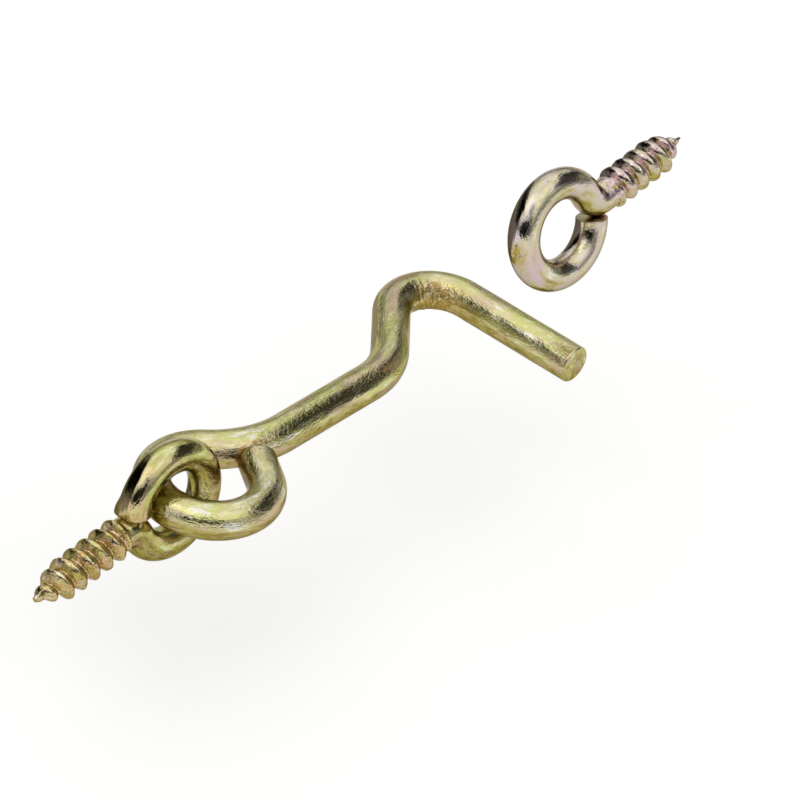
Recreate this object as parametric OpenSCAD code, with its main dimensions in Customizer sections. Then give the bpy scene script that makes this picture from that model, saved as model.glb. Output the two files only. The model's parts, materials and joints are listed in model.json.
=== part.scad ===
// Shutter hook with two screw eyes.
// One round bar is bent into a closed eye, a straight shank, a crank and a long square tongue.
// Its eye is linked through the ring of one wood screw eye. A second, equal screw eye is the catch
// that takes the tongue, shown loose above it and ready to be screwed in.
// Millimetres. The origin is on the pivot eye's screw, where its thread ends and the wood begins.
// +X runs along the hook's shank towards the tongue, the tongue points to -Y, and +Z is square to
// the plane in which the hook is bent and swings.

/* [Hook bar] */
// Diameter of the round bar that the hook is bent from
bar_d = 5; // [4:0.5:6]
// Reach from the inside of the hook's eye to the tongue's middle, the size that the hook is sold by
reach = 60.4; // [52:0.1:160]
// Bevel that shearing and tumbling leave on the bar's cut edges
cut_bevel = 0.15; // [0.05:0.05:0.5]
// Gap left between a rolled end and the stretch of rod that it butts on
cut_gap = 0.1; // [0.05:0.05:0.5]

/* [Hook eye] */
// Clear hole in the rolled eye
eye_hole_d = 9.4; // [9:0.1:14]
// Angle by which the shank turns aside before the eye, so that the eye sits in line with it
eye_bend_angle = 42; // [30:1:50]
// Radius of that bend at the bar's middle
eye_bend_radius = 15.7; // [10:0.1:25]
// Short straight between that bend and the eye
eye_lead = 0.3; // [0.1:0.1:3]
// How far the bar is rolled round to make the eye
eye_turn = 277; // [265:1:290]

/* [Crank and tongue] */
// Angle of the crank to the shank
crank_angle = 39; // [20:1:60]
// Radius of the bend from the shank into the crank, at the bar's middle
crank_radius = 11.8; // [6:0.1:20]
// Straight part of the crank
crank_length = 8.6; // [2:0.1:20]
// Radius of the bend from the crank into the tongue, at the bar's middle
tongue_bend_radius = 6; // [4:0.1:12]
// Straight part of the tongue
tongue_length = 18.2; // [10:0.1:40]

/* [Screw eyes] */
// Diameter of the wire of both screw eyes
wire_d = 4.2; // [3.5:0.1:4.5]
// Clear hole in each ring
ring_hole_d = 8; // [7.8:0.1:12]
// Radius of the bend from the neck into the ring, at the wire's middle
neck_radius = 2.3; // [2.3:0.1:4]
// Short straight between that bend and the ring
neck_lead = 0.2; // [0.1:0.1:1]
// Plain neck between the thread and that bend
neck_length = 1.5; // [0.5:0.1:5]
// Outside diameter of the wood thread
thread_d = 5.2; // [4.6:0.1:6]
// Diameter of the core between the thread's turns
core_d = 3.4; // [2.6:0.1:4]
// Distance from one turn of the thread to the next
pitch = 2.2; // [1.6:0.1:3]
// Width of each turn at its crest
crest_width = 0.4; // [0.2:0.1:0.8]
// Width of each turn at the core
turn_width = 1.8; // [1:0.1:2.4]
// Length of the thread at its full diameter
thread_length = 9.6; // [5:0.1:30]
// Length of the thread's pointed end
point_length = 4; // [2:0.1:8]
// Diameter of the very tip
tip_d = 0.4; // [0.2:0.1:1]

/* [How the loose pieces lie] */
// Angle by which both screws lean out of the hook's plane
screw_lean = 12.2; // [0:0.1:20]
// Angle by which both screws turn aside within the hook's plane
screw_aside = 2.7; // [-5:0.1:5]
// Turn of the pivot ring about its own screw
pivot_roll = 6.3; // [0:0.1:15]
// Turn of the catch ring about its own screw
catch_roll = 16.1; // [0:0.1:30]
// Middle of the hook's eye from the middle of the pivot ring, along the shank
eye_along = 5.85; // [5.8:0.01:6]
// The same distance across the shank
eye_across = -1.4; // [-1.6:0.1:-1]
// The same distance square to the hook's plane
eye_up = 0.2; // [0:0.1:0.4]
// Height of the loose catch ring's middle over the tongue
catch_height = 17.9; // [12:0.1:40]
// Distance of the catch ring's middle from the tongue's free end
catch_from_tip = 6.3; // [0:0.1:20]

/* [Hidden] */
$fn = 96;

bar_r = bar_d / 2;
wire_r = wire_d / 2;
eye_radius = eye_hole_d / 2 + bar_r;
ring_radius = ring_hole_d / 2 + wire_r;

// A bend is a hair thicker than a straight, whose ends run into it for a clean union.
lap = 0.3;
bend_swell = 0.03;

// The neck's bend leaves the screw's line at such an angle that the ring is centred on that line.
ring_to_bend = norm([ring_radius + neck_radius, neck_lead]);
neck_bend_angle = acos(neck_radius / ring_to_bend) - atan2(neck_lead, ring_radius + neck_radius);
ring_x = (neck_radius + ring_radius) * sin(neck_bend_angle) + neck_lead * cos(neck_bend_angle);
ring_reach = neck_length + ring_x;

// The thread's turns, as many as fit between the neck and the tip.
screw_length = thread_length + point_length;
flank = (turn_width - crest_width) / 2;
first_turn = pitch - turn_width;
turns = floor((screw_length - first_turn - turn_width) / pitch) + 1;

// The ring stops where the outer edge of its cut end comes within cut_gap of the neck's bend.
ring_outer = ring_radius + wire_r;
neck_outer = neck_radius + wire_r + cut_gap;
end_angle = acos((ring_outer * ring_outer + ring_to_bend * ring_to_bend - neck_outer * neck_outer)
    / (2 * ring_outer * ring_to_bend));
ring_turn = 270 + neck_bend_angle + atan2(neck_radius, ring_x) - end_angle;

// Middle of the hook's eye, measured from the end of the shank where the eye's bend begins.
eye_centre_x = -(eye_bend_radius + eye_radius) * sin(eye_bend_angle) - eye_lead * cos(eye_bend_angle);
eye_centre_y = eye_bend_radius - (eye_bend_radius + eye_radius) * cos(eye_bend_angle)
    + eye_lead * sin(eye_bend_angle);

// The eye's tail runs on straight until the edge of its cut end is cut_gap short of the bar's bend.
tail_heading = 180 - eye_bend_angle + eye_turn;
tail_way = [cos(tail_heading), sin(tail_heading)];
tail_corner = [eye_centre_x, eye_centre_y]
    + [sin(tail_heading), -cos(tail_heading)] * eye_radius
    + [-sin(tail_heading), cos(tail_heading)] * bar_r
    - [0, eye_bend_radius];
tail_stop = eye_bend_radius + bar_r + cut_gap;
tail_along = tail_corner * tail_way;
tail_room = tail_along * tail_along - tail_corner * tail_corner + tail_stop * tail_stop;
tail_length = max(0.1, -tail_along - sqrt(max(0, tail_room)));

// The crank and tongue, measured from the same end of the shank, which makes up the reach.
crank_x = crank_radius * sin(crank_angle) + crank_length * cos(crank_angle)
    + tongue_bend_radius * (1 + sin(crank_angle));
tongue_x = reach + eye_centre_x - eye_hole_d / 2;
shank_length = tongue_x - crank_x;
tongue_top_y = crank_radius * (1 - cos(crank_angle)) + crank_length * sin(crank_angle)
    - tongue_bend_radius * cos(crank_angle);

// Places in the part's own frame.
screw_turn = [0, -screw_lean, -screw_aside];
ring_way = [cos(screw_lean) * cos(screw_aside), -cos(screw_lean) * sin(screw_aside), sin(screw_lean)];
ring_at = ring_way * ring_reach;
hinge_at = ring_at + [eye_along, eye_across, eye_up];
hook_at = hinge_at - [eye_centre_x, eye_centre_y, 0];
tip_at = hook_at + [tongue_x, tongue_top_y - tongue_length, 0];
catch_at = tip_at + [0, catch_from_tip, catch_height];

// A straight stretch of rod along +X. What follows carries on from its end.
module straight(d, length) {
    translate([-lap, 0, 0]) rotate([0, 90, 0]) cylinder(d = d, h = length + 2 * lap);
    translate([length, 0, 0]) children();
}

// A rod's last stretch along +X, cut off square. Its edge is bevelled.
module cut_end(d, length, bevel) {
    translate([-lap, 0, 0]) rotate([0, 90, 0]) cylinder(d = d, h = length + lap - bevel);
    translate([length - bevel, 0, 0]) rotate([0, 90, 0]) cylinder(d1 = d, d2 = d - 2 * bevel, h = bevel);
}

// A bend in the XY plane, to the left for a positive angle. What follows carries on from its end.
module bend(d, angle, radius) {
    side = angle < 0 ? 1 : 0;
    mirror([0, side, 0])
        translate([0, radius, 0])
            rotate(-90)
                rotate_extrude(angle = abs(angle))
                    translate([radius, 0]) circle(d = d + bend_swell);
    translate([0, radius * sign(angle), 0])
        rotate(angle)
            translate([0, -radius * sign(angle), 0]) children();
}

module hook_arm() {
    color([0.72, 0.70, 0.42])
        translate(hook_at) {
            straight(bar_d, shank_length)
                bend(bar_d, crank_angle, crank_radius)
                    straight(bar_d, crank_length)
                        bend(bar_d, -90 - crank_angle, tongue_bend_radius)
                            cut_end(bar_d, tongue_length, cut_bevel);
            rotate(180)
                bend(bar_d, -eye_bend_angle, eye_bend_radius)
                    straight(bar_d, eye_lead)
                        bend(bar_d, eye_turn, eye_radius)
                            cut_end(bar_d, tail_length, cut_bevel);
        }
}

// A screw eye on the X axis: the wood begins at the origin, the ring is on +X and the point on -X.
// The wire leaves the neck downwards, runs round the far side and ends over the neck.
module screw_eye() {
    rotate([-90, 0, 0])
        straight(wire_d, neck_length)
            bend(wire_d, neck_bend_angle, neck_radius)
                straight(wire_d, neck_lead)
                    bend(wire_d, -ring_turn, ring_radius);
    rotate([0, -90, 0]) wood_screw();
}

// The thread, from the neck to the point, with each turn as a plain ring of the thread's own section.
module wood_screw() {
    rotate_extrude()
        polygon(concat(
            [[0, 0], [core_d / 2, 0]],
            [for (turn = [0:turns - 1]) each ring_section(first_turn + turn * pitch)],
            [[tip_d / 2, screw_length], [0, screw_length]]
        ));
}

// One turn's section: up one flank, along the crest and down the other flank.
function ring_section(start) = [
    [tapered(core_d / 2, start), start],
    [tapered(thread_d / 2, start + flank), start + flank],
    [tapered(thread_d / 2, start + flank + crest_width), start + flank + crest_width],
    [tapered(core_d / 2, start + turn_width), start + turn_width]
];

// A radius of the thread, which the point takes down to the tip's.
function tapered(full, along) =
    full - (full - tip_d / 2) * max(0, along - thread_length) / point_length;

module pivot_screw_eye() {
    color([0.70, 0.66, 0.44])
        rotate(screw_turn - [pivot_roll, 0, 0]) screw_eye();
}

module catch_screw_eye() {
    color([0.66, 0.62, 0.50])
        translate(catch_at)
            rotate(screw_turn - [catch_roll, 0, 0])
                rotate([0, 180, 0])
                    translate([-ring_reach, 0, 0]) screw_eye();
}

hook_arm();
pivot_screw_eye();
catch_screw_eye();
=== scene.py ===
import json
import math
from collections import namedtuple

import bpy
from mathutils import Euler, Matrix, Vector, noise


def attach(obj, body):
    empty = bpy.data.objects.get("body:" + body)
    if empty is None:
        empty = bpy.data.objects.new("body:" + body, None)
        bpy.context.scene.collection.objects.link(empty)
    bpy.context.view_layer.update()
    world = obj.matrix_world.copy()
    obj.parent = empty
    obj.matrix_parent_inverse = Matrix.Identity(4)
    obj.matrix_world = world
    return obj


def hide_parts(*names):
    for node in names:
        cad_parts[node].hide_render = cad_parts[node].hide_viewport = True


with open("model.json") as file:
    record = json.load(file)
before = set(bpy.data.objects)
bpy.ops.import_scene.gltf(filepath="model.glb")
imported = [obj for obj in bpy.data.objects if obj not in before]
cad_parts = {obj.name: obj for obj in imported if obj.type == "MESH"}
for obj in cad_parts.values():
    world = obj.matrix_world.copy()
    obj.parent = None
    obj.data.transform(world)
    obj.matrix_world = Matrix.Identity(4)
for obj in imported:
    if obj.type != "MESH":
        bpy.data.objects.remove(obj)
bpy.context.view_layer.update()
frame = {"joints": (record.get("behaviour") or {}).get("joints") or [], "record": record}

# Camera
# It stands on the pivot's side, above the hook, about 0.86 m off with a long lens, as the photograph
# was taken. Its turns are in degrees about X, Y and Z, in that order.
CAMERA_AT = Vector((-0.52653, -0.40367, 0.51040))
CAMERA_TURNS = (53.584, -7.624, -49.677)
LENS_MM = 306.9
SENSOR_MM = 36.0


def turned_by(turns):
    """The rotation by some degrees about X, then Y, then Z."""
    return Euler([math.radians(turn) for turn in turns], "XYZ").to_matrix().to_4x4()


camera_data = bpy.data.cameras.new("camera")
camera_data.lens = LENS_MM
camera_data.sensor_width = SENSOR_MM
camera_data.clip_start = 0.05
camera_data.clip_end = 50.0
camera = bpy.data.objects.new("camera", camera_data)
camera.matrix_world = Matrix.Translation(CAMERA_AT) @ turned_by(CAMERA_TURNS)
bpy.context.scene.collection.objects.link(camera)
bpy.context.scene.camera = camera
bpy.context.scene.view_settings.view_transform = "Standard"

# Hook arm
# One 5 mm round bar of drawn mild steel, sheared to length and bent cold round formers: a rolled eye,
# a crank and a square tongue. The eye is closed through the pivot's ring. All lengths in millimetres.


def bend(radius, turn):
    """A rod's bend, as the length of its middle line and the degrees that it turns, left positive."""
    return math.radians(abs(turn)) * radius, turn


def run_before(moves, move):
    """How far along the rod a move begins."""
    return sum(length for length, turn in moves[:moves.index(move)])


BAR_R = 2.5
EYE_R = 7.2
EYE_TAIL = (4.46, 0)
EYE_ROLL = bend(EYE_R, -277)
EYE_LEAD = (0.3, 0)
EYE_BEND = bend(15.7, 42)
SHANK = (16.24, 0)
CRANK_BEND = bend(11.8, 39)
CRANK = (8.6, 0)
TONGUE_BEND = bend(6.0, -129)
TONGUE = (18.2, 0)
HOOK_MOVES = [EYE_TAIL, EYE_ROLL, EYE_LEAD, EYE_BEND, SHANK, CRANK_BEND, CRANK, TONGUE_BEND, TONGUE]
# The tail sets out this way, so that the eye and its bend bring the shank round to +X.
HOOK_HEADING = -EYE_ROLL[1] - EYE_BEND[1]
hook_length = sum(length for length, turn in HOOK_MOVES)
tongue_bend_start = run_before(HOOK_MOVES, TONGUE_BEND)
tongue_bend_middle = tongue_bend_start + TONGUE_BEND[0] / 2
# What shearing and tumbling left: rounded edges, and a nick in the tongue's edge.
EDGE_ROUND = 0.30
NICK_ANGLE = 2.65
NICK_FROM_END = 0.35
NICK_R = 0.36
NICK_DEPTH = 0.08
# How uneven a drawn bar is, how high the marks of the tools stand, and the wrinkles of the tight bend.
UNEVEN = 0.012
TOOL_MARKS = 0.03
WRINKLES = 0.10
WRINKLED_HALF = 3.2
# The tail was struck shut over its first millimetres, and marked its seat on the bend by the shank.
TAIL_STRUCK = (0.5, 3.5)
SEAT_RUN = run_before(HOOK_MOVES, SHANK) - 6.0
SEAT_HALF = 2.6
# The former rubbed the inside of the tight bend between these runs, most of all in the bend's middle.
RUBBED = (tongue_bend_start + 2.0, hook_length - 8.0)
# The side on which a dark streak is painted, a painted reflection of dark surroundings, and how much
# less painted shade the sheared faces get.
HOOK_DARK_REFLECTION_WAY = Vector((-0.55, 0.83, 0.05))
CUT_PALER = 0.18
# The skin's rings of points are 0.2 mm apart, as the 80 points round the bar nearly are. On a rounded edge
# they lie closer, at these shares of its radius.
RING_STEP = 0.2
AROUND = 80
ROUNDING_STEPS = (0.0, 0.07, 0.2, 0.4, 0.7)


def rod_place(moves, heading, run):
    """Where a bent rod's middle line is after a run along it, and the way it faces there. A move is a
    length and the degrees that it turns."""
    x, y, facing = 0.0, 0.0, math.radians(heading)
    for length, turn in moves:
        part = min(length, run)
        if turn:
            curve = math.radians(turn) / length
            x += (math.sin(facing + curve * part) - math.sin(facing)) / curve
            y += (math.cos(facing) - math.cos(facing + curve * part)) / curve
            facing += curve * part
        else:
            x += part * math.cos(facing)
            y += part * math.sin(facing)
        run -= part
        if run <= 0:
            break
    return x, y, facing


def skin_rod(name, moves, heading, runs, radius_at, worked_at, dark_reflection_way, to_world):
    """Skins a bent rod with rings of points and closes both ends. Each point keeps its place on the rod
    as if that were straight (run, across, up, in millimetres), how far it faces down into its painted
    shade, how far it faces the side with a painted dark reflection, and how hard the tools pressed on it."""
    points, straightened, worked, faces = [], [], [], []
    for run in runs:
        x, y, facing = rod_place(moves, heading, run)
        for k in range(AROUND):
            angle = 2 * math.pi * k / AROUND
            radius = radius_at(run, angle)
            across, up = radius * math.cos(angle), radius * math.sin(angle)
            place = Vector((x - across * math.sin(facing), y + across * math.cos(facing), up))
            points.append(to_world @ place)
            straightened.append((run, across, up))
            worked.append(worked_at(run, angle))
    for ring in range(len(runs) - 1):
        for k in range(AROUND):
            a, b = ring * AROUND + k, ring * AROUND + (k + 1) % AROUND
            faces.append((a, b, b + AROUND, a + AROUND))
    last = (len(runs) - 1) * AROUND
    for run, first, turned in ((runs[0], 0, True), (runs[-1], last, False)):
        x, y, _ = rod_place(moves, heading, run)
        points.append(to_world @ Vector((x, y, 0.0)))
        straightened.append((run, 0.0, 0.0))
        worked.append(worked_at(run, 0.0))
        middle = len(points) - 1
        for k in range(AROUND):
            a, b = first + k, first + (k + 1) % AROUND
            faces.append((middle, b, a) if turned else (middle, a, b))
    mesh = bpy.data.meshes.new(name)
    mesh.from_pydata([point * 0.001 for point in points], [], faces)
    mesh.shade_smooth()
    mesh.set_sharp_from_angle(angle=math.radians(50))
    normals = [normal.vector.copy() for normal in mesh.vertex_normals]
    # Painted shade: the more a point faces down, the more it takes the darker colours below.
    # The freshly sheared faces get less of it, as if they had faced a little more up.
    cuts = (runs[0], runs[-1])
    painted_shade_below = [-n.z - CUT_PALER * (place[0] in cuts) for n, place in zip(normals, straightened)]
    for kept, kind, channel, values in (
        ("rod", "FLOAT_VECTOR", "vector", [value for place in straightened for value in place]),
        ("painted_shade_below", "FLOAT", "value", painted_shade_below),
        # The facing towards the side on which a dark reflection is painted.
        ("dark_reflection_side", "FLOAT", "value", [n.dot(dark_reflection_way) for n in normals]),
        ("worked", "FLOAT", "value", worked),
    ):
        mesh.attributes.new(kept, kind, "POINT").data.foreach_set(channel, values)
    piece = bpy.data.objects.new(name, mesh)
    bpy.context.scene.collection.objects.link(piece)
    return piece


def spaced(start, end, step):
    """Even steps from start up to, but without, end."""
    count = max(1, round((end - start) / step))
    return [start + (end - start) * k / count for k in range(count)]


def smooth(value, low, high):
    """0 below low, 1 above high, and an even rise between."""
    part = min(1.0, max(0.0, (value - low) / (high - low)))
    return part * part * (3 - 2 * part)


def swell(distance, half):
    """1 at no distance, falling smoothly to about a third at the half width, and on to 0."""
    return math.exp(-((distance / half) ** 2))


def skin_noise(run, angle, along, around, shift):
    """Smooth noise over a rod's skin, from -1 to 1, with its rates along and around the rod."""
    return noise.noise(Vector((run * along, math.cos(angle) * around, math.sin(angle) * around + shift)))


def end_rounding(to_end, edge_round):
    """How much thinner the rod is near a sheared end, whose edge tumbling has rounded."""
    if to_end >= edge_round:
        return 0.0
    return edge_round - math.sqrt(max(0.0, edge_round**2 - (edge_round - to_end) ** 2))


def hook_worked(run, angle):
    """The former rubbed the inside of the tight bend, and the butting end and its seat were struck shut."""
    inward = -math.cos(angle)
    rubbed = smooth(inward, 0.1, 0.8) * smooth(run, RUBBED[0], tongue_bend_middle)
    rubbed *= 1 - smooth(run, tongue_bend_middle, RUBBED[1])
    struck = 0.6 * (1 - smooth(run, *TAIL_STRUCK))
    return min(1.0, rubbed + struck + swell(run - SEAT_RUN, SEAT_HALF) * smooth(inward, 0.2, 0.9))


def hook_radius(run, angle):
    """The bar's own 2.5 mm: rounded where it was sheared, a little uneven, and wrinkled inside the
    tight bend. The shears left a nick in the tongue's edge."""
    radius = BAR_R - end_rounding(min(run, hook_length - run), EDGE_ROUND)
    radius += UNEVEN * skin_noise(run, angle, 0.35, 1.6, 0.0)
    wrinkled = smooth(-math.cos(angle), 0.1, 0.8) * swell(run - tongue_bend_middle, WRINKLED_HALF)
    radius += WRINKLES * wrinkled * noise.noise(Vector((run * 1.5, math.sin(angle) * 2.2, 7.0)))
    radius += TOOL_MARKS * hook_worked(run, angle) * skin_noise(run, angle, 2.4, 4.0, 0.0)
    from_nick = math.hypot(hook_length - NICK_FROM_END - run, (angle - NICK_ANGLE) * BAR_R)
    return radius - NICK_DEPTH * swell(from_nick, NICK_R)


hook_runs = (
    [EDGE_ROUND * part for part in ROUNDING_STEPS]
    + spaced(EDGE_ROUND, hook_length - EDGE_ROUND, RING_STEP)
    + [hook_length - EDGE_ROUND]
    + [hook_length - EDGE_ROUND * part for part in reversed(ROUNDING_STEPS)]
)
# The eye's middle lies on the joint that the hook swings about.
tail_x, tail_y, tail_facing = rod_place(HOOK_MOVES, HOOK_HEADING, EYE_TAIL[0])
eye_middle = Vector((tail_x + EYE_R * math.sin(tail_facing), tail_y - EYE_R * math.cos(tail_facing), 0.0))
hinge_at = Vector(frame["joints"][0]["pos_m"]) * 1000
hook_arm = skin_rod(
    "hook_arm_bar", HOOK_MOVES, HOOK_HEADING, hook_runs, hook_radius, hook_worked, HOOK_DARK_REFLECTION_WAY,
    Matrix.Translation(hinge_at - eye_middle),
)


def from_hex(code):
    """An sRGB hex colour as the linear values that a shader takes."""
    channels = [int(code[k:k + 2], 16) / 255 for k in (1, 3, 5)]
    return [c / 12.92 if c <= 0.04045 else ((c + 0.055) / 1.055) ** 2.4 for c in channels] + [1.0]


def add_node(tree, kind, settings, links):
    """Adds a node, sets its properties and unlinked inputs, and links the given outputs into its inputs."""
    node = tree.nodes.new(kind)
    for key, value in settings.items():
        if isinstance(key, str) and hasattr(node, key):
            setattr(node, key, value)
        else:
            node.inputs[key].default_value = value
    for key, output in links.items():
        tree.links.new(output, node.inputs[key])
    return node


# The finish's clouds of noise: their size across the bar in millimetres, how they are drawn out along
# it (0.5 makes them twice as long), how much detail they have, and their own place in the noise.
CLOUDS = {
    # Patches of thin and thick film, drawn out as the bar drained, of the painted shade below, and of
    # its pink blush.
    "film": (1.613, 0.30, 6.0, (0.0, 0.0, 0.0)),
    "under": (1.429, 0.35, 6.0, (11.0, 5.0, 2.0)),
    "gold": (1.25, 0.8, 5.0, (5.0, 23.0, 1.0)),
    "blush": (2.381, 0.30, 4.0, (31.0, 7.0, 3.0)),
    # The ragged edges of the painted shade below, of the painted dark reflection, and of where tools
    # pressed.
    "painted_shade_below": (1.667, 0.25, 4.0, (3.0, 17.0, 9.0)),
    "dark_reflection_side": (1.111, 0.12, 5.0, (1.0, 27.0, 5.0)),
    "worked": (1.25, 0.6, 3.0, (13.0, 3.0, 29.0)),
    # Specks of bare, etched metal, 0.1 to 0.25 mm across, which lie thickest where tools pressed.
    "specks": (0.25, 1.0, 1.0, (2.0, 2.0, 41.0)),
    # Drawing lines run along the bar. Real ones are some 0.02 mm apart, drawn at 0.15 mm so that they show.
    "lines": (0.1538, 0.06, 2.0, (0.0, 0.0, 0.0)),
    # The plating's grain, 0.2 to 0.3 mm across, breaks up the edges of what it mirrors.
    "grain": (0.2381, 0.50, 2.0, (7.0, 0.0, 0.0)),
    # The bar itself is a little wavy over a few millimetres.
    "waves": (1.818, 0.4, 1.0, (0.0, 9.0, 0.0)),
}
CLOUD_ROUGHNESS = 0.66
# Nearly all of a cloud's values lie in this part of its range.
CLOUD_LOW = 0.36
CLOUD_SPAN = 0.28
SPECK = "#2A2415"
GRAZING_TINT = "#BDB8AA"


def chromated_zinc(
    name, grain_height, die_haze, film_colours, under_colours, gold_colours, blush, painted_dark_reflection, reflection_off_where_pressed
):
    """Yellow chromate over bright zinc. The film's colours run from thin to thick on top, in the painted
    shade on the side that faces down, and where tools pressed. The blush is its pink patches. A painted
    dark reflection lies on one side, and where tools pressed it is left off by the share given. The grain's
    height is in metres, and the die haze is roughness."""
    material = bpy.data.materials.new(name)
    material.use_nodes = True
    tree = material.node_tree
    tree.nodes.clear()
    rod = add_node(tree, "ShaderNodeAttribute", {"attribute_name": "rod"}, {}).outputs["Vector"]
    painted_shade_below, dark_reflection_side, worked = [
        add_node(tree, "ShaderNodeAttribute", {"attribute_name": kept}, {}).outputs["Fac"]
        for kept in ("painted_shade_below", "dark_reflection_side", "worked")
    ]

    clouds = {}
    for use, (across, along, detail, shift) in CLOUDS.items():
        place = add_node(
            tree, "ShaderNodeVectorMath", {"operation": "MULTIPLY_ADD", 1: (along, 1.0, 1.0), 2: shift},
            {0: rod},
        )
        clouds[use] = add_node(
            tree, "ShaderNodeTexNoise",
            {"Scale": 1 / across, "Detail": detail, "Roughness": CLOUD_ROUGHNESS},
            {"Vector": place.outputs[0]},
        ).outputs["Fac"]

    # Each value is swung up and down by another, whose middle is a half. Where tools pressed, the colour
    # also shifts with the painted shade on the side that faces down.
    below = add_node(
        tree, "ShaderNodeMapRange",
        {"interpolation_type": "SMOOTHSTEP", "From Min": -0.6, "From Max": 0.3}, {"Value": painted_shade_below},
    ).outputs["Result"]
    swung = {}
    for use, value, by, amount in (
        ("painted_shade_below", painted_shade_below, clouds["painted_shade_below"], 1.3),
        ("dark_reflection_side", dark_reflection_side, clouds["dark_reflection_side"], 0.30),
        ("worked", worked, clouds["worked"], 1.1),
        ("specks", clouds["specks"], worked, 0.14),
        ("gold", clouds["gold"], below, 0.20),
    ):
        swing = add_node(
            tree, "ShaderNodeMath", {"operation": "MULTIPLY_ADD", 1: amount, 2: -amount / 2}, {0: by}
        )
        swung[use] = add_node(
            tree, "ShaderNodeMath", {"operation": "ADD"}, {0: value, 1: swing.outputs[0]}
        ).outputs[0]

    # How much there is of each layer: none where the value is low, and up to the top where it is high.
    amounts = {}
    for use, value, low, high, top in (
        # Painted shade on the side that faces down.
        ("under", swung["painted_shade_below"], -0.42, 0.02, 0.94),
        ("blush", clouds["blush"], 0.50, 0.62, 0.70),
        ("pressed", swung["worked"], 0.15, 1.0, 0.8),
        # The painted dark reflection on one side.
        ("dark_reflection_mask", swung["dark_reflection_side"], 0.76, 0.84, 0.85),
        ("specks", swung["specks"], 0.68, 0.73, 0.8),
    ):
        amounts[use] = add_node(
            tree, "ShaderNodeMapRange",
            {"interpolation_type": "SMOOTHSTEP", "From Min": low, "From Max": high, "To Max": top},
            {"Value": value},
        ).outputs["Result"]
    # Painted dark reflection: where tools pressed, it is left off by the share given.
    left_on = add_node(
        tree, "ShaderNodeMath", {"operation": "MULTIPLY_ADD", 1: -reflection_off_where_pressed, 2: 1.0}, {0: amounts["pressed"]}
    )
    amounts["painted_dark_reflection"] = add_node(
        tree, "ShaderNodeMath", {"operation": "MULTIPLY"}, {0: amounts["dark_reflection_mask"], 1: left_on.outputs[0]}
    ).outputs[0]

    films = {}
    for use, value, colours in (
        ("film", clouds["film"], film_colours),
        ("under", clouds["under"], under_colours),
        ("gold", swung["gold"], gold_colours),
    ):
        ramp = add_node(tree, "ShaderNodeValToRGB", {}, {"Fac": value})
        for _ in colours[2:]:
            ramp.color_ramp.elements.new(0.5)
        for k, code in enumerate(colours):
            ramp.color_ramp.elements[k].position = CLOUD_LOW + CLOUD_SPAN * k / (len(colours) - 1)
            ramp.color_ramp.elements[k].color = from_hex(code)
        films[use] = ramp.outputs["Color"]

    # The layers of colour, each over the last: the painted shade below, blush, the pressed gold, the
    # painted dark reflection and specks. A colour mix takes its two colours at 6 and 7, and gives its
    # result at 2.
    colour = films["film"]
    for use, plain, film in (
        ("under", {}, {7: films["under"]}),
        ("blush", {7: from_hex(blush)}, {}),
        ("pressed", {}, {7: films["gold"]}),
        ("painted_dark_reflection", {7: from_hex(painted_dark_reflection)}, {}),
        ("specks", {7: from_hex(SPECK)}, {}),
    ):
        colour = add_node(
            tree, "ShaderNodeMix", {"data_type": "RGBA", **plain}, {0: amounts[use], 6: colour, **film}
        ).outputs[2]

    # The surface: grain, about twice as high where the tools struck, then lines, waves and pitted specks.
    struck = add_node(
        tree, "ShaderNodeMapRange",
        {"interpolation_type": "SMOOTHSTEP", "From Min": 0.5, "From Max": 0.8},
        {"Value": amounts["pressed"]},
    ).outputs["Result"]
    coarser = add_node(tree, "ShaderNodeMath", {"operation": "MULTIPLY_ADD", 1: 1.1, 2: 1.15}, {0: struck})
    height = add_node(
        tree, "ShaderNodeMath", {"operation": "MULTIPLY"}, {0: clouds["grain"], 1: coarser.outputs[0]}
    )
    for part, share in ((clouds["lines"], 0.20), (clouds["waves"], 4.0), (amounts["specks"], -0.4)):
        height = add_node(
            tree, "ShaderNodeMath", {"operation": "MULTIPLY_ADD", 1: share}, {0: part, 2: height.outputs[0]}
        )
    bump = add_node(
        tree, "ShaderNodeBump", {"Strength": 1.0, "Distance": grain_height}, {"Height": height.outputs[0]}
    )
    # Drawing lines dull the gloss a little, and the tools dulled it more where they pressed.
    haze = add_node(
        tree, "ShaderNodeMapRange", {"From Min": 0.3, "From Max": 0.7, "To Min": 0.04, "To Max": 0.14},
        {"Value": clouds["lines"]},
    ).outputs["Result"]
    dulled = add_node(
        tree, "ShaderNodeMath", {"operation": "MULTIPLY_ADD", 1: die_haze}, {0: amounts["pressed"], 2: haze}
    )
    shader = add_node(
        tree, "ShaderNodeBsdfPrincipled", {"Metallic": 1.0, "Specular Tint": from_hex(GRAZING_TINT)},
        {"Base Color": colour, "Roughness": dulled.outputs[0], "Normal": bump.outputs["Normal"]},
    )
    add_node(tree, "ShaderNodeOutputMaterial", {}, {"Surface": shader.outputs["BSDF"]})
    return material


# Thick yellow chromate on bright zinc: pale straw and green on top, olive painted shade below, glossy
# as bent bar is.
hook_zinc = chromated_zinc(
    "yellow_chromated_zinc_bar", grain_height=0.000055, die_haze=0.08,
    film_colours=["#E8E4D6", "#DBD9A0", "#D4C69E", "#C8C97E", "#D2D294", "#E8E2D2"],
    under_colours=["#5A4C22", "#9C9050", "#B2A662", "#86782E", "#A0864E", "#B8B074"],
    gold_colours=["#DCC79C", "#B8954F", "#A88646", "#8E7836", "#C6AE74"],
    # A grey-brown painted dark reflection down one side, mostly left off where tools pressed.
    blush="#C8B096", painted_dark_reflection="#94806A", reflection_off_where_pressed=0.8,
)
hook_arm.data.materials.append(hook_zinc)
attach(hook_arm, "hook")
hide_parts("hook_arm")

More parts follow.
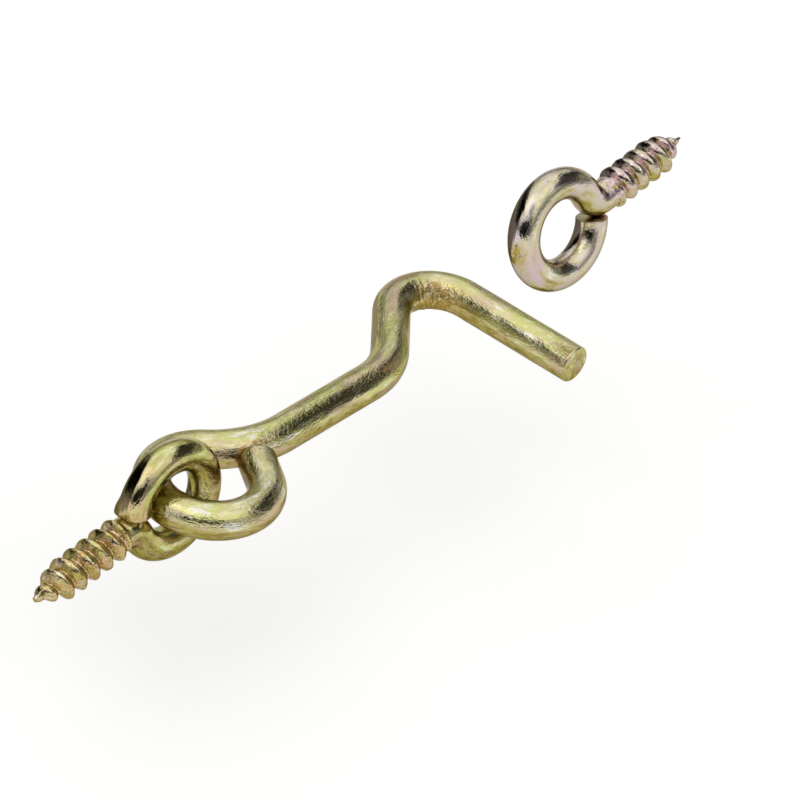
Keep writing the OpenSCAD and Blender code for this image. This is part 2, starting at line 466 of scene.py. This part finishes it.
# Screw eyes
# Each is one 4.2 mm drawn steel wire: a coarse wood thread is rolled on it and its point pinched, then
# the ring is bent round until its sheared end butts on the neck. Pivot and catch are the same product.
WIRE_R = 2.1
THREAD_RUN = 13.6
NECK = (1.5, 0)
NECK_BEND = bend(2.3, 72.75)
RING_LEAD = (0.2, 0)
RING_ROLL = bend(6.1, -327.2)
EYE_MOVES = [(THREAD_RUN, 0), NECK, NECK_BEND, RING_LEAD, RING_ROLL]
eye_length = sum(length for length, turn in EYE_MOVES)
PITCH = 2.2
CREST_R = 2.6
CORE_R = 1.7
POINT_RUN = 4.0
# Half of a turn's width at the core, as a share of the pitch, and how rough the dies left the turns.
TURN_HALF = 0.46
THREAD_ROUGHNESS = 0.07
# The core's share of the radius at the tip, and the millimetres in which the first turn rises and in
# which the last one fades.
CORE_AT_TIP = 0.8
TURN_RISES = 0.9
TURN_FADES = 0.5
# Each thread has a radius at its tip, a bare needle before its first turn, more or less full crests, a
# place about the wire as a share of a turn, and a length over which it runs out on the neck.
Thread = namedtuple("Thread", "tip_r needle fullness turned runout")
PIVOT_THREAD = Thread(tip_r=0.45, needle=0.0, fullness=1.6, turned=0.43, runout=1.2)
CATCH_THREAD = Thread(tip_r=0.16, needle=0.7, fullness=2.3, turned=0.107, runout=0.0)
# The dies pressed the catch's thread less than the pivot's, which makes it paler.
CATCH_PRESSURE = 0.75
# How far past the thread the dies pressed the neck, and how far from the cut the shears pressed the ring:
# fully up to the first length, and no more from the second.
DIES_REACH = (0.5, 2.0)
SHEARS_REACH = (1.0, 3.5)
# The ring's end has a rounded edge, a flat down its outer side, which fades and twists as it goes back
# from the cut, and metal squeezed out at one corner. Angles round the wire are in radians, and the
# flat's depth is a share of the wire's radius.
SHEARED_ROUND = 0.16
FLAT_RUN = 8.0
FLAT_FADE = 3.0
FLAT_DEPTH = 0.06
FLAT_ANGLE = -0.083
FLAT_TWIST = 0.055
SQUEEZED = 0.40
SQUEEZED_RUN = (0.2, 2.2)
SQUEEZED_ANGLE = 0.95
SQUEEZED_HALF = 0.45
# The screw eyes' side on which a dark streak is painted, a painted reflection of dark surroundings.
EYE_DARK_REFLECTION_WAY = Vector((-0.72, 0.62, 0.31))
# One spot on the catch's ring lay against other work in the bath, and took as deep a yellow as the thread.
SPOT_RUN = 34.8
SPOT_ANGLE = -0.35
SPOT_R = 1.3


def sheared_end(run, angle, radius):
    """The ring's end as the tools left it: a flat down its outer side and, at the cut's corner, the
    metal that the shears squeezed out."""
    to_end = eye_length - run
    if to_end > FLAT_RUN:
        return radius
    corner = (1 - smooth(to_end, *SQUEEZED_RUN)) * swell(angle - SQUEEZED_ANGLE, SQUEEZED_HALF)
    flat = WIRE_R * (1 - FLAT_DEPTH * (1 - smooth(to_end, FLAT_RUN - FLAT_FADE, FLAT_RUN)))
    side = math.cos(angle - FLAT_ANGLE - FLAT_TWIST * to_end)
    radius += SQUEEZED * corner
    return min(radius, flat / side) if side > 0.5 else radius


def thread_rise(run, angle, thread):
    """The right-hand thread's height there, from 0 between its turns to 1 on the crest."""
    phase = (run / PITCH - angle / (2 * math.pi) + thread.turned) % 1.0
    faded = smooth(run, THREAD_RUN - TURN_FADES + thread.runout, THREAD_RUN + thread.runout)
    return max(0.0, 1 - (abs(phase - 0.5) / TURN_HALF) ** thread.fullness) * (1 - faded)


def eye_worked(run, angle, thread, pressure=1.0):
    """The dies pressed the thread, most of all between its turns, and the shears the ring's end."""
    sheared = 0.5 * (1 - smooth(eye_length - run, *SHEARS_REACH)) * smooth(math.cos(angle), -0.5, 0.5)
    groove = 1 - 0.4 * thread_rise(run, angle, thread)
    rolled = pressure * groove * (1 - smooth(run - THREAD_RUN, *DIES_REACH))
    return min(1.0, sheared + rolled)


def catch_worked(run, angle):
    """The dies pressed the catch too, and the spot on its ring is coloured as if they had pressed there."""
    across = math.remainder(angle - SPOT_ANGLE, 2 * math.pi) * WIRE_R
    spot = swell(math.hypot(run - SPOT_RUN, across), SPOT_R)
    return min(1.0, eye_worked(run, angle, CATCH_THREAD, CATCH_PRESSURE) + spot)


def eye_radius(run, angle, thread):
    """The wire's surface: the thread starts behind the point and fades into the neck."""
    radius = WIRE_R
    if run < THREAD_RUN + thread.runout:
        grown = min(1.0, run / POINT_RUN)
        crest = thread.tip_r + (CREST_R - thread.tip_r) * grown
        core_tip = CORE_AT_TIP * thread.tip_r
        core = core_tip + (CORE_R - core_tip) * min(1.0, run / (POINT_RUN + 1.0))
        core += (WIRE_R - core) * smooth(run, THREAD_RUN - TURN_FADES, THREAD_RUN + thread.runout)
        height = thread_rise(run, angle, thread) * smooth(run - thread.needle, 0.0, TURN_RISES)
        radius = core + max(0.0, crest - core) * height
        radius += THREAD_ROUGHNESS * grown * skin_noise(run, angle, 1.9, 2.8, thread.turned * 40)
    radius = sheared_end(run, angle, radius) - end_rounding(eye_length - run, SHEARED_ROUND)
    radius += UNEVEN * skin_noise(run + thread.turned * 50, angle, 0.4, 1.6, 0.0)
    marks = skin_noise(run, angle, 2.4, 4.0, thread.turned * 20)
    return radius + TOOL_MARKS * eye_worked(run, angle, thread) * marks


# The thread's rings of points lie closer than the bar's, and so do those at the point and the cut.
THREAD_STEP = 0.075
thread_end = THREAD_RUN + 0.3
eye_runs = (
    [0.0, 0.03]
    + spaced(0.08, thread_end, THREAD_STEP)
    + spaced(thread_end, eye_length - EDGE_ROUND, RING_STEP)
    + [eye_length - EDGE_ROUND, eye_length - SHEARED_ROUND]
    + [eye_length - SHEARED_ROUND * part for part in reversed(ROUNDING_STEPS)]
)
# Both screws lean out of the hook's plane and turn aside alike, and each is rolled about its own axis.
SCREW_LEAN = 12.2
SCREW_ASIDE = 2.7
PIVOT_ROLL = 6.3
CATCH_ROLL = 16.1
pivot_turn = turned_by((-PIVOT_ROLL, -SCREW_LEAN, -SCREW_ASIDE))
catch_turn = turned_by((-CATCH_ROLL, -SCREW_LEAN, -SCREW_ASIDE)) @ turned_by((0, 180, 0))
mounts = {mount["name"]: Vector(mount["pos_m"]) * 1000 for mount in frame["record"]["mounts"]}
screw_to_wood = turned_by((-90, 0, 0)) @ Matrix.Translation((-THREAD_RUN, 0, 0))
pivot_eye = skin_rod(
    "pivot_screw_eye_wire", EYE_MOVES, 0.0, eye_runs,
    lambda run, angle: eye_radius(run, angle, PIVOT_THREAD),
    lambda run, angle: eye_worked(run, angle, PIVOT_THREAD),
    EYE_DARK_REFLECTION_WAY, Matrix.Translation(mounts["pivot_screw"]) @ pivot_turn @ screw_to_wood,
)
catch_eye = skin_rod(
    "catch_screw_eye_wire", EYE_MOVES, 0.0, eye_runs,
    lambda run, angle: eye_radius(run, angle, CATCH_THREAD),
    catch_worked,
    EYE_DARK_REFLECTION_WAY, Matrix.Translation(mounts["catch_screw"]) @ catch_turn @ screw_to_wood,
)
# The pivot's film is thicker than the hook's: yellow to olive, and golden brown in the thread. Its
# olive underside is painted shade, and a near black painted dark reflection runs down one side.
eye_zinc = chromated_zinc(
    "yellow_chromated_zinc_wire", grain_height=0.000036, die_haze=0.16,
    film_colours=["#EAE6D0", "#D6D092", "#CBBA8C", "#B7B664", "#C8CC8A", "#DCD8AC"],
    under_colours=["#52471E", "#8C823E", "#A49A52", "#7A6830", "#988252", "#B4AC78"],
    gold_colours=["#EAD6B6", "#C08448", "#D8C47C", "#A8A860", "#C69058", "#E8D0B0"],
    blush="#D0B696", painted_dark_reflection="#1E190B", reflection_off_where_pressed=0.9,
)
# The catch's film is thinner: silver with lilac, and yellow only in patches. Its yellow olive
# underside is painted shade, and a dark painted reflection runs down one side.
catch_zinc = chromated_zinc(
    "pale_chromated_zinc_wire", grain_height=0.000034, die_haze=0.02,
    film_colours=["#E8E4D8", "#DED8C0", "#CCC598", "#D2C8B0", "#D0C2BA", "#D6C6C8"],
    under_colours=["#94863E", "#A89C56", "#BAB084", "#C0B49C", "#C0B0AC", "#CABAB8"],
    gold_colours=["#D0B2B4", "#E6D6D2", "#BA9E9A", "#C6B44E", "#A48E2A", "#CDBB5C"],
    blush="#CFB2BC", painted_dark_reflection="#2E2A22", reflection_off_where_pressed=0.0,
)
for piece, node, slot, finish in (
    (pivot_eye, "pivot_screw_eye", "screw_eye_zinc", eye_zinc),
    (catch_eye, "catch_screw_eye", "catch_eye_zinc", catch_zinc),
):
    piece.data.materials.append(finish)
    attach(piece, "screw_eyes")
    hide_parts(node)

# Studio
# A white table under the object, and a white tent round it with three dark openings: one round the
# camera and one to each side of it. The bent bars mirror the openings as their dark streaks.
FLOOR_Z = -0.020
FLOOR_HALF = 3.0
PAPER = "#D6D6D4"
PAPER_GLOW = 0.50
WHITE = (1.0, 1.0, 1.0, 1.0)
floor_mesh = bpy.data.meshes.new("floor")
corners = [(x * FLOOR_HALF, y * FLOOR_HALF, FLOOR_Z) for x, y in ((-1, -1), (1, -1), (1, 1), (-1, 1))]
floor_mesh.from_pydata(corners, [], [(0, 1, 2, 3)])
floor = bpy.data.objects.new("floor", floor_mesh)
bpy.context.scene.collection.objects.link(floor)
# White table paper: matt, with no gloss, so that it only shows the object's soft shadow. It glows a little
# where it is looked at or mirrored, to be white there, and adds no light to a matt surface.
paper = bpy.data.materials.new("white_table_paper")
paper.use_nodes = True
tree = paper.node_tree
tree.nodes.clear()
matt = add_node(tree, "ShaderNodeBsdfDiffuse", {"Color": from_hex(PAPER)}, {})
path = add_node(tree, "ShaderNodeLightPath", {}, {})
seen = path.outputs["Is Camera Ray"]
for ray in ("Is Glossy Ray", "Is Transmission Ray"):
    seen = add_node(
        tree, "ShaderNodeMath", {"operation": "MAXIMUM"}, {0: seen, 1: path.outputs[ray]}
    ).outputs[0]
lift = add_node(tree, "ShaderNodeMath", {"operation": "MULTIPLY", 1: PAPER_GLOW}, {0: seen})
glow = add_node(tree, "ShaderNodeEmission", {"Color": WHITE}, {"Strength": lift.outputs[0]})
both = add_node(tree, "ShaderNodeAddShader", {}, {0: matt.outputs[0], 1: glow.outputs[0]})
add_node(tree, "ShaderNodeOutputMaterial", {}, {"Surface": both.outputs[0]})
floor_mesh.materials.append(paper)

world = bpy.data.worlds.new("white_tent")
bpy.context.scene.world = world
world.use_nodes = True
tree = world.node_tree
tree.nodes.clear()
direction = add_node(tree, "ShaderNodeTexCoord", {}, {}).outputs["Generated"]
# The tent glows evenly overhead and dims towards the table: (sine of the elevation, level).
DIMMING = [(0.0, 0.16), (0.17, 0.20), (0.34, 0.42), (0.55, 0.78), (0.80, 1.0)]
# Each spot on the tent: the azimuth and elevation of its middle, its half width and its soft edge, all in
# degrees, and its level. The openings' rows are to the camera's right, to its left and round it.
OPENINGS = [
    (-42, 32, 20, 7, 0.06), (-22, 38, 19, 7, 0.05), (-2, 42, 14, 6, 0.03), (2, 24, 11, 6, 0.03),
    (86, 4, 19, 5, 0.01), (106, 12, 21, 5, 0.01), (126, 22, 19, 5, 0.01), (143, 33, 12, 5, 0.02),
    (-165, 18, 18, 5, 0.02), (-145, 18, 17, 5, 0.01), (-127, 24, 14, 5, 0.02), (-139, 46, 8, 4, 0.03),
]
SOFTBOXES = [
    (176, 50, 24, 14, 0.42), (150, 56, 16, 10, 0.25), (-100, 58, 22, 16, 0.25), (60, 60, 20, 20, 0.15),
]
# Brighter than any place on the tent, so that an opening only darkens what lies inside it.
OVER_TENT = 2.0
# The table's paper curves up a little all round, up to this sine of the elevation.
PAPER_RIM = (0.070, 0.080)


def spot(azimuth, elevation, half, edge, outside, inside):
    """A round spot on the tent, with one level outside it and another inside."""
    a, e = math.radians(azimuth), math.radians(elevation)
    way = (math.cos(a) * math.cos(e), math.sin(a) * math.cos(e), math.sin(e))
    near = add_node(tree, "ShaderNodeVectorMath", {"operation": "DOT_PRODUCT", 1: way}, {0: direction})
    return add_node(
        tree, "ShaderNodeMapRange",
        {
            "interpolation_type": "SMOOTHSTEP", "From Min": math.cos(math.radians(half + edge / 2)),
            "From Max": math.cos(math.radians(half - edge / 2)), "To Min": outside, "To Max": inside,
        },
        {"Value": near.outputs["Value"]},
    ).outputs["Result"]


height = add_node(tree, "ShaderNodeSeparateXYZ", {}, {"Vector": direction}).outputs["Z"]
dimming = add_node(tree, "ShaderNodeValToRGB", {}, {"Fac": height})
for place, grey in DIMMING[2:]:
    dimming.color_ramp.elements.new(place)
for element, (place, grey) in zip(dimming.color_ramp.elements, DIMMING):
    element.position = place
    element.color = (grey, grey, grey, 1.0)
level = dimming.outputs["Color"]
for *box, brightness in SOFTBOXES:
    light = spot(*box, 0.0, brightness)
    level = add_node(tree, "ShaderNodeMath", {"operation": "ADD"}, {0: level, 1: light}).outputs[0]
for *opening, darkness in OPENINGS:
    shade = spot(*opening, OVER_TENT, darkness)
    level = add_node(tree, "ShaderNodeMath", {"operation": "MINIMUM"}, {0: level, 1: shade}).outputs[0]
rim = add_node(
    tree, "ShaderNodeMapRange",
    {"From Min": PAPER_RIM[0], "From Max": PAPER_RIM[1], "To Min": 1.0, "To Max": 0.0}, {"Value": height},
).outputs["Result"]
level = add_node(tree, "ShaderNodeMath", {"operation": "MAXIMUM"}, {0: level, 1: rim}).outputs[0]
tent = add_node(tree, "ShaderNodeBackground", {"Color": WHITE}, {"Strength": level})
add_node(tree, "ShaderNodeOutputWorld", {}, {"Surface": tent.outputs["Background"]})
